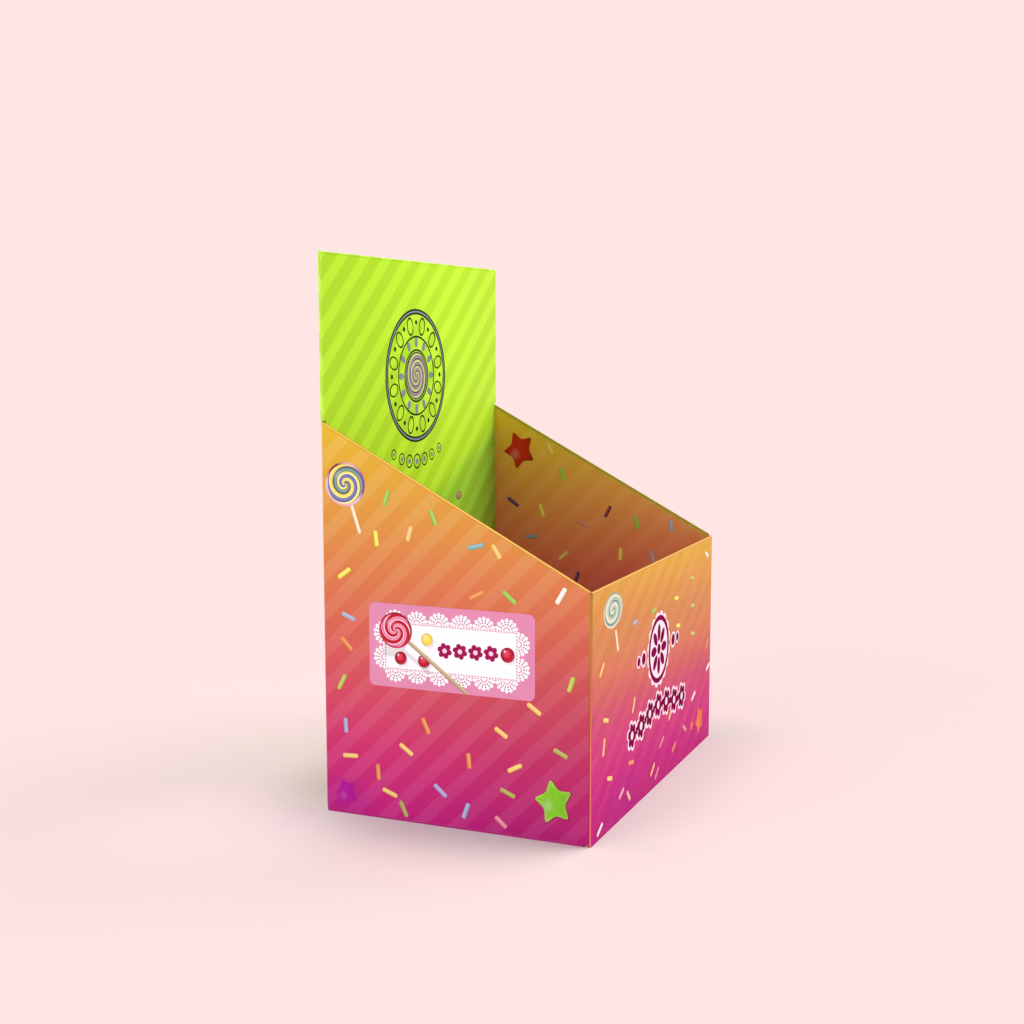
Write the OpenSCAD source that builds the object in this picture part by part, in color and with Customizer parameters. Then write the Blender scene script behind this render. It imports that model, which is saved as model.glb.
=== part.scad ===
// Counter display box in printed board: a glued tube of four rolled, double walls, a tall header
// and a bottom with a tuck flap and two dust flaps. Front is -Y, the floor is Z = 0.
// With the bottom swung down, the tube shears to the right and lies flat in two layers.

/* [Box] */
// Outside width of the box, left to right
box_w = 237; // [200:1:280]
// Outside depth of the box, front to back, glue flap included
box_d = 160; // [145:1:190]
// Height of the front wall
front_h = 136; // [110:1:160]
// Height of the side walls where they meet the back
side_h = 221; // [190:1:260]
// Height of the header's top edge above the floor
header_h = 313; // [280:1:350]

/* [Board] */
// Thickness of one ply of board
board_t = 1; // [0.8:0.05:1.4]
// Glue line between an outer ply and its liner
glue_t = 0.1; // [0.05:0.05:0.2]
// Outside radius of the rolled rims
rim_r = 0.7; // [0.4:0.05:0.75]
// Leg of the flat that a crease leaves down an outside corner
crease_leg = 1.2; // [0.6:0.1:1.8]
// Running gap at a crease, a seam or the edge of a flap
crease_gap = 0.2; // [0.1:0.05:0.4]

/* [Bottom] */
// Distance that the bottom panel stays in from the side walls' outer faces
bottom_in = 0.5; // [0.2:0.1:1.5]
// Height of the tuck flap that stands behind the front wall
tuck_h = 10; // [6:1:12]
// Slant of the tuck flap's two ends from upright
tuck_slant = 48; // [45:1:60]
// Reach of a dust flap in from its side wall
dust_reach = 55; // [35:1:60]
// Angle between a dust flap's crease and its slanted back edge
dust_back_angle = 26; // [24:0.5:26]
// Slant of a dust flap's front edge from square to its crease
dust_front_slant = 7; // [6:1:12]
// Radius on the free corners of the flaps
flap_r = 4; // [2:0.5:6]

/* [Glue flap] */
// Width of the glue flap on the back
glue_w = 22; // [15:1:35]
// Slant of the glue flap's two ends from level
glue_slant = 15; // [8:1:25]
// Distance that the glue flap stops short of the wall's two ends
glue_short = 3; // [2:0.5:8]

/* [Label] */
// Length of the paper label on the left wall
label_w = 98.5; // [70:0.5:110]
// Height of the label
label_h = 46.5; // [30:0.5:60]
// Thickness of the label paper
label_t = 0.15; // [0.1:0.05:0.3]
// Radius on the label's corners
label_r = 3.5; // [1:0.5:8]
// Height of the label's middle above the floor
label_z = 99; // [70:1:120]
// Distance of the label's middle behind the middle of the box
label_y = 0.7; // [-8:0.1:8]

/* [Hidden] */
$fn = 48;

green = "#b7e037";
coral = "#dc7265";
pink = "#d0437b";
amber = "#f2b15a";
brown = "#9c5a31";
label_pink = "#e3789f";
white = "#f2eee9";

// Walls: two plies with a glue line between them
wall_t = 2 * board_t + glue_t;
// Distance of a closing corner's pivot in from both outer faces
pivot_in = wall_t + crease_gap;
// Half of the gap between two mitred walls
mitre = crease_gap / 2;

// Outer faces of the four walls
x_left = -box_w / 2;
x_right = box_w / 2;
y_front = -box_d / 2;
y_back = box_d / 2 - board_t - glue_t;
tube_d = y_back - y_front;

// Sloped top of the side walls
slope = atan((side_h - front_h) / tube_d);
rim_seat = board_t + glue_t;
shoulder_z = side_h + crease_gap;

// Stack under the box: bottom panel, then dust flaps, then the side liners
side_z = board_t + crease_gap;
liner_z = side_z + board_t + crease_gap;

// The tuck flap's outer face, back far enough for its top edge to swing out past the front wall
tuck_swing = (2 * tuck_h * tuck_h + pivot_in * tuck_h) / tube_d;
y_tuck = y_front + wall_t + tuck_swing + crease_gap;
tuck_in = wall_t + board_t;

// The dust flaps' two ends along their creases
y_dust_front = y_tuck + board_t + 2 * crease_gap;
y_dust_back = y_back - wall_t - board_t;

// Longer than any edge that a prism has to cross
over = 20;

// Plan outlines of the four walls

module left_plan() {
  polygon([
    [x_left, y_front + crease_leg],
    [x_left + (crease_leg - mitre) / 2, y_front + (crease_leg + mitre) / 2],
    [x_left + wall_t, y_front + wall_t + mitre],
    [x_left + wall_t, y_back],
    [x_left + crease_leg, y_back],
    [x_left, y_back - crease_leg]
  ]);
}

module front_plan() {
  polygon([
    [x_left + crease_leg, y_front],
    [x_right - crease_leg, y_front],
    [x_right, y_front + crease_leg],
    [x_right, y_front + wall_t],
    [x_left + wall_t + mitre, y_front + wall_t],
    [x_left + (crease_leg + mitre) / 2, y_front + (crease_leg - mitre) / 2]
  ]);
}

module right_plan() {
  polygon([
    [x_right - wall_t, y_front + pivot_in],
    [x_right, y_front + pivot_in],
    [x_right, y_back - mitre],
    [x_right - wall_t, y_back - wall_t - mitre]
  ]);
}

module back_plan() {
  polygon([
    [x_left + pivot_in, y_back - wall_t],
    [x_right - wall_t - mitre, y_back - wall_t],
    [x_right - mitre, y_back],
    [x_left + pivot_in, y_back]
  ]);
}

// Stands an outline drawn in Y and Z up, and gives it a thickness from x0 to x1
module stand_side(x0, x1) {
  translate([x0, 0, 0]) rotate([90, 0, 90]) linear_extrude(x1 - x0) children();
}

// Stands an outline drawn in X and Z up, and gives it a thickness from y0 to y1
module stand_front(y0, y1) {
  translate([0, y1, 0]) rotate([90, 0, 0]) linear_extrude(y1 - y0) children();
}

// Rectangle from one corner to the opposite one
module rect(x0, y0, x1, y1) {
  translate([x0, y0]) square([x1 - x0, y1 - y0]);
}

// Rectangle with rounded corners about the origin
module round_rect(w, h, r) {
  square([w - 2 * r, h], center = true);
  square([w, h - 2 * r], center = true);
  for (x = [-1, 1], y = [-1, 1]) translate([x * (w / 2 - r), y * (h / 2 - r)]) circle(r);
}

// Rounds the outward corners of an outline
module round_corners(r) {
  offset(r = r) offset(delta = -r) children();
}

// Side wall seen from the side, its top lowered square to the slope by the given depth
module side_outline(z0, depth) {
  drop = depth / cos(slope);
  polygon([[y_front, z0], [y_back, z0], [y_back, side_h - drop], [y_front, front_h - drop]]);
}

// Rims: the strip between the two creases where a liner rolls over its outer ply

// Section of a rolled rim, its depth running down from the top
module rim_section() {
  intersection() {
    rect(0, 0, wall_t, board_t);
    union() {
      rect(rim_r, 0, wall_t - rim_r, board_t);
      rect(0, rim_r, wall_t, board_t);
      for (x = [rim_r, wall_t - rim_r]) translate([x, rim_r]) circle(rim_r);
    }
  }
}

// Rim that follows the slope of a side wall whose left face is at x0
module sloped_rim(x0) {
  run = tube_d / cos(slope) + 2 * over;
  translate([x0, y_front, front_h])
    rotate([slope - 90, 0, 0])
      translate([0, 0, -over]) linear_extrude(run) rim_section();
}

// Level rim along X from x0 to x1, with its front face at y0 and its top at z1
module level_rim(x0, x1, y0, z1) {
  translate([x1, y0, z1]) rotate([-90, 0, 90]) linear_extrude(x1 - x0) rim_section();
}

// Back wall and header

// The back wall's plan up to the shoulder, and the header's full width above it
module back_reach() {
  linear_extrude(shoulder_z) back_plan();
  translate([0, 0, shoulder_z]) linear_extrude(header_h - shoulder_z)
    rect(x_left, y_back - wall_t, x_right, y_back);
}

module back_panel() {
  color(green) intersection() {
    back_reach();
    stand_side(x_left, x_right) polygon([
      [y_back, 0],
      [y_back, header_h - rim_seat],
      [y_back - board_t, header_h - rim_seat],
      [y_back - board_t, board_t]
    ]);
  }
}

module back_liner() {
  color(green) intersection() {
    back_reach();
    stand_front(y_back - wall_t, y_back - board_t - glue_t)
      rect(x_left, side_z, x_right, header_h - rim_seat);
  }
}

module header_fold() {
  color(green) level_rim(x_left, x_right, y_back - wall_t, header_h);
}

// Flap at the end of the right wall's outer ply, glued to the back from outside
module glue_flap() {
  z0 = side_z + glue_short;
  z1 = side_h - rim_seat - glue_short;
  rise = glue_w * tan(glue_slant);
  color(pink) intersection() {
    stand_front(y_back + glue_t, y_back + glue_t + board_t) polygon([
      [x_right, z0],
      [x_right, z1],
      [x_right - glue_w, z1 - rise],
      [x_right - glue_w, z0 + rise]
    ]);
    linear_extrude(side_h) union() {
      rect(x_right - glue_w, y_back, x_right - board_t, y_back + glue_t + board_t);
      translate([x_right - board_t, y_back + glue_t]) circle(board_t);
    }
  }
}

// Left wall

module left_panel() {
  color(coral) intersection() {
    linear_extrude(side_h) intersection() {
      left_plan();
      union() {
        rect(x_left, y_front, x_left + board_t, y_back);
        rect(x_left, y_back - board_t, x_left + wall_t, y_back);
      }
    }
    stand_side(x_left, x_left + wall_t) side_outline(side_z, rim_seat);
    stand_front(y_front, y_back) polygon([
      [x_left, side_z],
      [x_left + board_t, side_z + board_t],
      [x_left + wall_t, side_z + board_t],
      [x_left + wall_t, side_h],
      [x_left, side_h]
    ]);
  }
}

module left_liner() {
  color(brown) intersection() {
    linear_extrude(side_h) left_plan();
    stand_side(x_left + board_t + glue_t, x_left + wall_t) intersection() {
      side_outline(liner_z, rim_seat);
      rect(y_front, liner_z, y_back - board_t - glue_t, side_h);
    }
  }
}

module left_rim_fold() {
  color(amber) intersection() {
    linear_extrude(side_h) left_plan();
    sloped_rim(x_left);
  }
}

module left_label() {
  color(label_pink) translate([0, label_y, label_z])
    stand_side(x_left - label_t, x_left) round_rect(label_w, label_h, label_r);
}

// Front wall

module front_panel() {
  color(pink) linear_extrude(front_h - rim_seat) intersection() {
    front_plan();
    union() {
      rect(x_left, y_front, x_right, y_front + board_t);
      rect(x_right - board_t, y_front, x_right, y_front + wall_t);
    }
  }
}

module front_liner() {
  color(brown) linear_extrude(front_h - rim_seat) intersection() {
    front_plan();
    rect(x_left, y_front + board_t + glue_t, x_right - board_t - glue_t, y_front + wall_t);
  }
}

module front_rim_fold() {
  color(amber) intersection() {
    linear_extrude(front_h) front_plan();
    level_rim(x_left, x_right, y_front, front_h);
  }
}

// Right wall

module right_panel() {
  color(coral) intersection() {
    linear_extrude(side_h) right_plan();
    stand_side(x_right - board_t, x_right) side_outline(side_z, rim_seat);
    stand_front(y_front, y_back) polygon([
      [x_right, side_z],
      [x_right, side_h],
      [x_right - board_t, side_h],
      [x_right - board_t, side_z + board_t]
    ]);
  }
}

module right_liner() {
  color(brown) intersection() {
    linear_extrude(side_h) right_plan();
    stand_side(x_right - wall_t, x_right - board_t - glue_t) side_outline(liner_z, rim_seat);
  }
}

module right_rim_fold() {
  color(amber) intersection() {
    linear_extrude(side_h) right_plan();
    sloped_rim(x_right - wall_t);
  }
}

// Bottom

// Panel between its crease under the back wall and its crease at the tuck flap
module bottom_panel() {
  color(white) stand_side(x_left + bottom_in, x_right - bottom_in) polygon([
    [y_tuck, 0],
    [y_back - crease_gap, 0],
    [y_back - crease_gap - board_t, board_t],
    [y_tuck + board_t, board_t]
  ]);
}

// Flap that tucks up behind the front wall, its ends slanted to clear the side walls as it leaves
module tuck_flap() {
  half = x_right - tuck_in;
  lean = tuck_h * tan(tuck_slant);
  color(white) intersection() {
    stand_front(y_tuck, y_tuck + board_t) round_corners(min(flap_r, tuck_h / 2))
      polygon([[-half, -tuck_h], [half, -tuck_h], [half, 0], [half - lean, tuck_h], [lean - half, tuck_h], [-half, 0]]);
    stand_side(-half, half) polygon([
      [y_tuck, crease_gap],
      [y_tuck, tuck_h],
      [y_tuck + board_t, tuck_h],
      [y_tuck + board_t, board_t + crease_gap]
    ]);
  }
}

// Dust flap on the left wall, seen from above: its slanted back edge stays over the bottom panel
// while both swing down
module dust_outline() {
  back_run = dust_reach / tan(dust_back_angle);
  front_run = dust_reach * tan(dust_front_slant);
  spare = 2 * flap_r;
  intersection() {
    round_corners(flap_r) polygon([
      [x_left - spare, y_dust_back + spare / tan(dust_back_angle)],
      [x_left + dust_reach, y_dust_back - back_run],
      [x_left + dust_reach, y_dust_front + front_run],
      [x_left - spare, y_dust_front - spare * tan(dust_front_slant)]
    ]);
    rect(x_left, y_front, x_left + dust_reach, y_back);
  }
}

module dust_flap() {
  color(white) intersection() {
    linear_extrude(liner_z) dust_outline();
    stand_front(y_front, y_back) polygon([
      [x_left + crease_gap, side_z],
      [x_left + dust_reach, side_z],
      [x_left + dust_reach, side_z + board_t],
      [x_left + crease_gap + board_t, side_z + board_t]
    ]);
  }
}

module left_dust_flap() {
  dust_flap();
}

module right_dust_flap() {
  mirror([1, 0, 0]) dust_flap();
}

back_panel();
back_liner();
header_fold();
glue_flap();
left_panel();
left_liner();
left_rim_fold();
left_label();
left_dust_flap();
front_panel();
front_liner();
front_rim_fold();
right_panel();
right_liner();
right_rim_fold();
right_dust_flap();
bottom_panel();
tuck_flap();
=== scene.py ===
import math
import random

import bpy
from mathutils import Matrix, Vector


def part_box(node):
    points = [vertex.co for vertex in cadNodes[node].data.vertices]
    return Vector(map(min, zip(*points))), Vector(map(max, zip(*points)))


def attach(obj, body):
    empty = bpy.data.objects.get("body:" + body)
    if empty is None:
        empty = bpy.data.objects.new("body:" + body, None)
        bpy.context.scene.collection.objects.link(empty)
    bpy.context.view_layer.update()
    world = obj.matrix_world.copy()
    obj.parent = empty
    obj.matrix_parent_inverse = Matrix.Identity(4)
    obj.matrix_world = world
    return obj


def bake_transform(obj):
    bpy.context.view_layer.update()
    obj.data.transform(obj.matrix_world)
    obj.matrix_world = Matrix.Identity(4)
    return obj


# Looks of the counter display box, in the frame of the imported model, in metres
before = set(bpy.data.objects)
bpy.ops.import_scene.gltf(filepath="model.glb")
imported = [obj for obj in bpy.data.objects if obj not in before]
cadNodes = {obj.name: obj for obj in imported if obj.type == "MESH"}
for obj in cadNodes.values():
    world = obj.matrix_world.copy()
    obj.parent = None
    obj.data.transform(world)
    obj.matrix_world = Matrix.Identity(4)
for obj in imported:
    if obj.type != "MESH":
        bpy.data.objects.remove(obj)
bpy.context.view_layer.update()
mm = 0.001
print("frame:", len(cadNodes), "nodes")


# Shader maths: one output in a material, where arithmetic adds Math nodes
class Tap:
    def __init__(self, paint, socket):
        self.paint = paint
        self.socket = socket

    def __add__(self, other):
        return self.paint.maths("ADD", self, other)

    def __sub__(self, other):
        return self.paint.maths("SUBTRACT", self, other)

    def __rsub__(self, other):
        return self.paint.maths("SUBTRACT", other, self)

    def __mul__(self, other):
        return self.paint.maths("MULTIPLY", self, other)

    def __truediv__(self, other):
        return self.paint.maths("DIVIDE", self, other)

    def __abs__(self):
        return self.paint.maths("ABSOLUTE", self)

    def least(self, other):
        return self.paint.maths("MINIMUM", self, other)

    def most(self, other):
        return self.paint.maths("MAXIMUM", self, other)

    def fract(self):
        return self.paint.maths("FRACT", self)

    __radd__ = __add__
    __rmul__ = __mul__


white = (255, 255, 255)


def linear(colour):
    # a colour as seen on screen, 0 to 255, as the scene's own values; one that comes from a node stays
    if isinstance(colour, Tap):
        return colour

    def channel(v):
        v = v / 255
        return v / 12.92 if v <= 0.04045 else ((v + 0.055) / 1.055) ** 2.4
    return tuple(channel(v) for v in colour) + (1.0,)


def setStops(ramp, stops):
    while len(ramp.elements) > 1:
        ramp.elements.remove(ramp.elements[-1])
    ramp.elements[0].position = stops[0][0]
    ramp.elements[0].color = linear(stops[0][1])
    for position, colour in stops[1:]:
        ramp.elements.new(position).color = linear(colour)


# The nodes of a material or of the world
class Nodes:
    def __init__(self, tree):
        self.tree = tree
        tree.nodes.clear()

    def node(self, kind, settings=None, inputs=None, output=0):
        made = self.tree.nodes.new(kind)
        for key, value in (settings or {}).items():
            if key == "stops":
                setStops(made.color_ramp, value)
            else:
                setattr(made, key, value)
        for key, value in (inputs or {}).items():
            if isinstance(value, Tap):
                self.tree.links.new(value.socket, made.inputs[key])
            else:
                made.inputs[key].default_value = value
        return Tap(self, made.outputs[output]) if made.outputs else None


class Paint(Nodes):
    def __init__(self, name):
        self.material = bpy.data.materials.new(name)
        self.material.use_nodes = True
        super().__init__(self.material.node_tree)
        spot = self.node("ShaderNodeTexCoord", output=3)
        self.milli = self.node("ShaderNodeVectorMath", {"operation": "SCALE"}, {0: spot, "Scale": 1 / mm})
        self.x, self.y, self.z = self.split(self.milli)

    def maths(self, operation, *values):
        return self.node("ShaderNodeMath", {"operation": operation}, dict(enumerate(values)))

    def split(self, vector):
        parts = self.node("ShaderNodeSeparateXYZ", None, {0: vector})
        return [Tap(self, socket) for socket in parts.socket.node.outputs]

    def flat(self):
        # the piece's own drawing plane, -1 to 1 across it
        u, v = self.split(self.node("ShaderNodeTexCoord", output=2))[:2]
        return u * 2 - 1, v * 2 - 1

    def disc(self):
        # that plane on a round piece, with the distance from the middle
        u, v = self.flat()
        return u, v, self.length(u, v)

    def smooth(self, value, low, high):
        ends = {"Value": value, "From Min": low, "From Max": high}
        return self.node("ShaderNodeMapRange", {"interpolation_type": "SMOOTHSTEP"}, ends)

    def noise(self, scale, detail=2.0, vector=None):
        settings = {"Vector": vector or self.milli, "Scale": scale, "Detail": detail}
        return self.node("ShaderNodeTexNoise", None, settings)

    def ramp(self, value, stops):
        return self.node("ShaderNodeValToRGB", {"stops": stops}, {0: value})

    def mix(self, factor, a, b):
        inputs = {0: factor, 6: linear(a), 7: linear(b)}
        return self.node("ShaderNodeMix", {"data_type": "RGBA"}, inputs, output=2)

    def shade(self, colour, factor):
        start = colour if isinstance(colour, Tap) else linear(colour)[:3]
        return self.node("ShaderNodeVectorMath", {"operation": "SCALE"}, {0: start, "Scale": factor})

    def tint(self, factor, colour, by):
        # the colour's three channels multiplied by those of "by", as far as the factor says
        settings = {"data_type": "RGBA", "blend_type": "MULTIPLY"}
        inputs = {0: factor, 6: linear(colour), 7: by + (1.0,)}
        return self.node("ShaderNodeMix", settings, inputs, output=2)

    def length(self, a, b):
        return self.maths("SQRT", a * a + b * b)

    def turn(self, u, v):
        # place round the middle, -0.5 to 0.5 over a whole turn
        return self.maths("ARCTAN2", v, u) / (2 * math.pi)

    def bump(self, height, strength, distance):
        inputs = {"Strength": strength, "Distance": distance, "Height": height}
        return self.node("ShaderNodeBump", None, inputs)

    def finish(self, colour, roughness, normal, coat, specular=0.06):
        inputs = {"Base Color": colour, "Roughness": roughness, "Normal": normal}
        inputs.update({"Coat Weight": coat, "Coat Roughness": 0.3, "Specular IOR Level": specular})
        surface = self.node("ShaderNodeBsdfPrincipled", None, inputs)
        self.node("ShaderNodeOutputMaterial", None, {"Surface": surface})
        return self.material


# Walls' own places, in millimetres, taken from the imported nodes
def span(node, axis):
    low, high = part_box(node)
    return low[axis] / mm, high[axis] / mm


leftFace, leftInside = span("left_panel", 0)[0], span("left_liner", 0)[1]
rightFace, rightInside = span("right_panel", 0)[1], span("right_liner", 0)[0]
frontFace, frontInside = span("front_panel", 1)[0], span("front_liner", 1)[1]
backFace, headerFace = span("back_panel", 1)[1], span("back_liner", 1)[0]
frontTop, sideTop = span("front_rim_fold", 2)[1], span("left_rim_fold", 2)[1]
headerTop, rightStart = span("header_fold", 2)[1], span("right_panel", 1)[0]
labelFace, flapEnd = span("left_label", 0)[0], span("glue_flap", 0)[0]
rimSlope = (sideTop - frontTop) / (backFace - frontFace)
rimDepth = 1.2                 # how far the rolled rims come down, where the wear of the faces starts
print("walls: front", round(frontTop), "side", round(sideTop), "header", round(headerTop))


# Printed board: paper grain under a satin varnish, and light wear at the edges
board = {
    "cloud": 0.018,            # noise scale per mm of the broad print unevenness
    "cloudDepth": 0.05,
    "cloudRough": 0.1,
    "speckle": 0.55,
    "speckleDepth": 0.035,
    "speckleRough": 0.16,
    "fibre": 1.6,
    "roughness": 0.52,
    "bump": 0.25,
    "relief": 0.00004,         # in metres
    "coat": 0.02,
    "scuff": 0.06,             # noise scale per mm of the places where the edges are worn most
    "wornColour": (240, 226, 214),
    "wornDepth": 0.26,
    "wornReach": 0.9,
    "bare": (240, 234, 226),
    "fleck": (176, 160, 146),
}


def boardFinish(paint, colour, edge=None, level=None):
    # edge is the distance from the board's edge, level a last change in brightness
    cloud = paint.noise(board["cloud"], 3.0)
    speckle = paint.noise(board["speckle"], 4.0)
    fibre = paint.noise(board["fibre"], 3.0)
    tone = (cloud - 0.5) * board["cloudDepth"] + (speckle - 0.5) * board["speckleDepth"] + 1
    if level is not None:
        tone = tone * level
    colour = paint.shade(colour, tone)
    if edge is not None:
        reach = board["wornReach"]
        worn = paint.smooth(edge + fibre * reach, reach * 0.85, reach * 0.35)
        scuff = paint.smooth(paint.noise(board["scuff"], 4.0), 0.45, 0.7) * 0.7 + 0.3
        colour = paint.mix(worn * scuff * board["wornDepth"], colour, board["wornColour"])
    roughness = (speckle - 0.5) * board["speckleRough"] + (cloud - 0.5) * board["cloudRough"]
    normal = paint.bump(fibre * 0.6 + speckle * 0.4, board["bump"], board["relief"])
    return paint.finish(colour, roughness + board["roughness"], normal, board["coat"])


# Gradient prints of the walls; the stops run up each wall from the floor
sidePrint = {
    "stops": [(0.0, (206, 34, 134)), (0.18, (215, 56, 118)), (0.34, (217, 84, 100)), (0.5, (222, 110, 86)),
              (0.66, (225, 138, 78)), (0.82, (229, 167, 65)), (1.0, (234, 193, 47))],
    "stripes": [(0.12, (255, 153, 217)), (0.5, (255, 207, 185)), (0.75, (255, 255, 181))],
    "angle": 45.0,
    "period": 15.1,
    "start": -0.5,
    "share": 0.47,
    "soft": 0.4,
    "lift": 0.08,
    "level": 0.93,
    "frontShade": 0.25,        # painted shade: how much darker the print is low at the front
    "violetAt": (-66, 8),
    "violetReach": (24, 20),
    "violetDepth": 0.32,
}
insidePrint = {
    "lift": 0.045,
    "shift": 5.9,              # the stripes lie this far along from those outside
    "tint": (1.07, 1.12, 1.22),
    "lowLight": 0.14,          # painted light: how much lighter the print is low down
    "glow": (196, 190, 62),    # light on the print just under the rim
    "glowDepth": 0.5,
    "glowReach": 4.2,
}
frontPrint = {
    "stops": [(0.0, (192, 4, 124)), (0.15, (201, 17, 128)), (0.32, (210, 57, 124)), (0.42, (208, 77, 115)),
              (0.5, (211, 98, 101)), (0.59, (218, 120, 91)), (0.68, (218, 137, 85)), (0.78, (218, 143, 79)),
              (0.88, (225, 157, 66)), (1.0, (231, 177, 57))],
    "stripes": [(0.0, (210, 60, 130)), (0.2, (255, 122, 184)), (0.4, (255, 141, 146)), (0.6, (255, 178, 134)),
                (0.85, (255, 218, 139))],
    "tilt": 0.07,              # how many mm higher the magenta reaches for each mm to the left
    "angle": 32.0,
    "period": 14.8,
    "start": 7.6,
    "share": 0.45,
    "soft": 1.4,
    "lift": 0.085,
    "level": 0.95,
    "streakScale": (0.16, 0.022),
    "streakDepth": 0.1,
    "streakDark": (176, 60, 44),
    "streakLight": (244, 120, 160),
    "violetAt": (-66, 10),
    "violetReach": (40, 26),
    "violetDepth": 0.28,
}
headerPrint = {
    "stops": [(0.0, (177, 230, 41)), (0.3, (183, 239, 41)), (0.72, (197, 253, 50)), (1.0, (192, 243, 52))],
    "stripeTint": (1.17, 1.18, 1.5),
    "angle": 39.2,
    "period": 16.4,
    "start": 6.3,
    "share": 0.47,
    "soft": 0.7,
    "shadeFrom": (0.0, 169.0),     # the corner's shade starts on a line through this place
    "shadeRise": 0.414,
    "shadeReach": 24.0,
    "shadeTint": (0.63, 0.75, 1.2),
}
violet = (176, 26, 158)


def stripesOn(paint, kind, along):
    # 1 on the light stripes, 0 between them
    angle = math.radians(kind["angle"])
    across = paint.z * math.cos(angle) - along * math.sin(angle)
    away = abs(((across - kind["start"]) / kind["period"] + 0.5).fract() - 0.5)
    half, soft = kind["share"] / 2, kind["soft"] / kind["period"]
    return paint.smooth(away, half + soft, half - soft)


def striped(paint, kind, along, height, lift):
    # the print's gradient under light stripes, whose colour changes with the height too
    colour = paint.ramp(height, kind["stops"])
    return paint.mix(stripesOn(paint, kind, along) * lift, colour, paint.ramp(height, kind["stripes"]))


def violetCloud(paint, kind, colour, along):
    # the soft violet patch low in a corner of each print
    u = (along - kind["violetAt"][0]) / kind["violetReach"][0]
    v = (paint.z - kind["violetAt"][1]) / kind["violetReach"][1]
    return paint.mix(paint.smooth(paint.length(u, v), 1.0, 0.15) * kind["violetDepth"], colour, violet)


def sideDrop(paint):
    # how far a place lies below the side walls' slanted top edge
    return (paint.y - frontFace) * rimSlope + frontTop - paint.z


def sidePaint(name, runOf, runLow, runHigh):
    # runOf says how far to the right a place lies on the print, whose ends are at runLow and runHigh
    paint = Paint(name)
    run = runOf(paint)
    colour = striped(paint, sidePrint, run, paint.z / sideTop, sidePrint["lift"])
    colour = violetCloud(paint, sidePrint, colour, run)
    edge = (sideDrop(paint) - rimDepth).least(paint.z - rimDepth).least(run - runLow).least(runHigh - run)
    lowFront = paint.smooth(run, -60, 80) * paint.smooth(paint.z, 170, 5)
    return boardFinish(paint, colour, edge, (1 - lowFront * sidePrint["frontShade"]) * sidePrint["level"])


def frontStreaks(paint):
    # noise drawn out into brush streaks that run along the stripes
    lean = math.radians(frontPrint["angle"])
    across = paint.z * math.cos(lean) - paint.x * math.sin(lean)
    along = paint.z * math.sin(lean) + paint.x * math.cos(lean)
    narrow, wide = frontPrint["streakScale"]
    place = paint.node("ShaderNodeCombineXYZ", None, {0: across * narrow, 1: along * wide, 2: 0.0})
    return paint.noise(1.0, 3.0, place)


def frontPaint(name):
    paint = Paint(name)
    height = (paint.z + paint.x * frontPrint["tilt"]) / frontTop
    colour = striped(paint, frontPrint, paint.x, height, frontPrint["lift"])
    streak = frontStreaks(paint)
    for low, high, tone in ((0.52, 0.66, "streakDark"), (0.46, 0.34, "streakLight")):
        depth = paint.smooth(streak, low, high) * frontPrint["streakDepth"]
        colour = paint.mix(depth, colour, frontPrint[tone])
    colour = violetCloud(paint, frontPrint, colour, paint.x)
    edge = paint.z.least(frontTop - rimDepth - paint.z).least(rightFace - abs(paint.x))
    return boardFinish(paint, colour, edge, frontPrint["level"])


def greenPaint(name, along, shaded):
    # the print runs from corner to corner of the board, and is shaded low on the right inside the box
    paint = Paint(name)
    run = paint.x * along
    colour = paint.ramp((run - leftFace) / (rightFace - leftFace), headerPrint["stops"])
    colour = paint.tint(stripesOn(paint, headerPrint, run), colour, headerPrint["stripeTint"])
    if shaded:
        shadeX, shadeZ = headerPrint["shadeFrom"]
        below = (paint.x - shadeX) * headerPrint["shadeRise"] + shadeZ - paint.z
        shade = paint.smooth(below, 0, headerPrint["shadeReach"])
        colour = paint.tint(shade, colour, headerPrint["shadeTint"])
    return boardFinish(paint, colour, (rightFace - abs(paint.x)).least(headerTop - paint.z))


def innerPaint(name):
    # the side walls' liners: the same print by depth, with a glow under the rim
    paint = Paint(name)
    run = paint.y * -1 - insidePrint["shift"]
    colour = striped(paint, sidePrint, run, paint.z / sideTop, insidePrint["lift"])
    colour = paint.tint(1.0, colour, insidePrint["tint"])
    below = sideDrop(paint)
    glow = paint.smooth(below, insidePrint["glowReach"], rimDepth) * insidePrint["glowDepth"]
    colour = paint.mix(glow, colour, insidePrint["glow"])
    lowLight = paint.smooth(paint.z, 200, 120) * insidePrint["lowLight"]
    return boardFinish(paint, colour, below - rimDepth, lowLight + 1)


def innerFrontPaint(name):
    paint = Paint(name)
    colour = striped(paint, frontPrint, paint.x * -1, paint.z / frontTop, frontPrint["lift"])
    return boardFinish(paint, colour, frontTop - rimDepth - paint.z)


# Folds: rolled rims along the walls' tops, with a painted highlight along each outer edge, painted shade on
# the inner part, and the print cracked here and there
rims = {
    "leftStops": [(0.0, (250, 190, 96)), (0.4, (255, 212, 92)), (1.0, (236, 206, 70))],
    # painted shade: the right rim's colours are darker and olive, as that rim lies in shade
    "rightShadedStops": [(0.0, (178, 160, 62)), (0.5, (172, 166, 50)), (1.0, (166, 162, 48))],
    "frontStops": [(0.0, (250, 192, 92)), (1.0, (248, 196, 88))],
    "outerStops": [(0.0, (228, 156, 74)), (0.5, (228, 160, 70)), (1.0, (234, 184, 58))],
    # painted shade: each rim's inner part, as dark as the shaded inside of the box
    "inner": (128, 70, 30),
    "rightShadedInner": (170, 156, 52),
    "line": 0.75,              # width of the painted highlight along the outer edge
    "fall": 0.5,               # how far the line comes down the outer face
    "crack": (0.5, 0.62, 0.75, 0.25),
}


def cracked(paint, colour, crack, where=1.0):
    # bare board in the print's cracks, given as noise scale, start, end and depth
    scale, low, high, depth = crack
    bare = paint.smooth(paint.noise(scale, 4.0), low, high) * depth * where
    return paint.mix(bare, colour, board["wornColour"])


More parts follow.
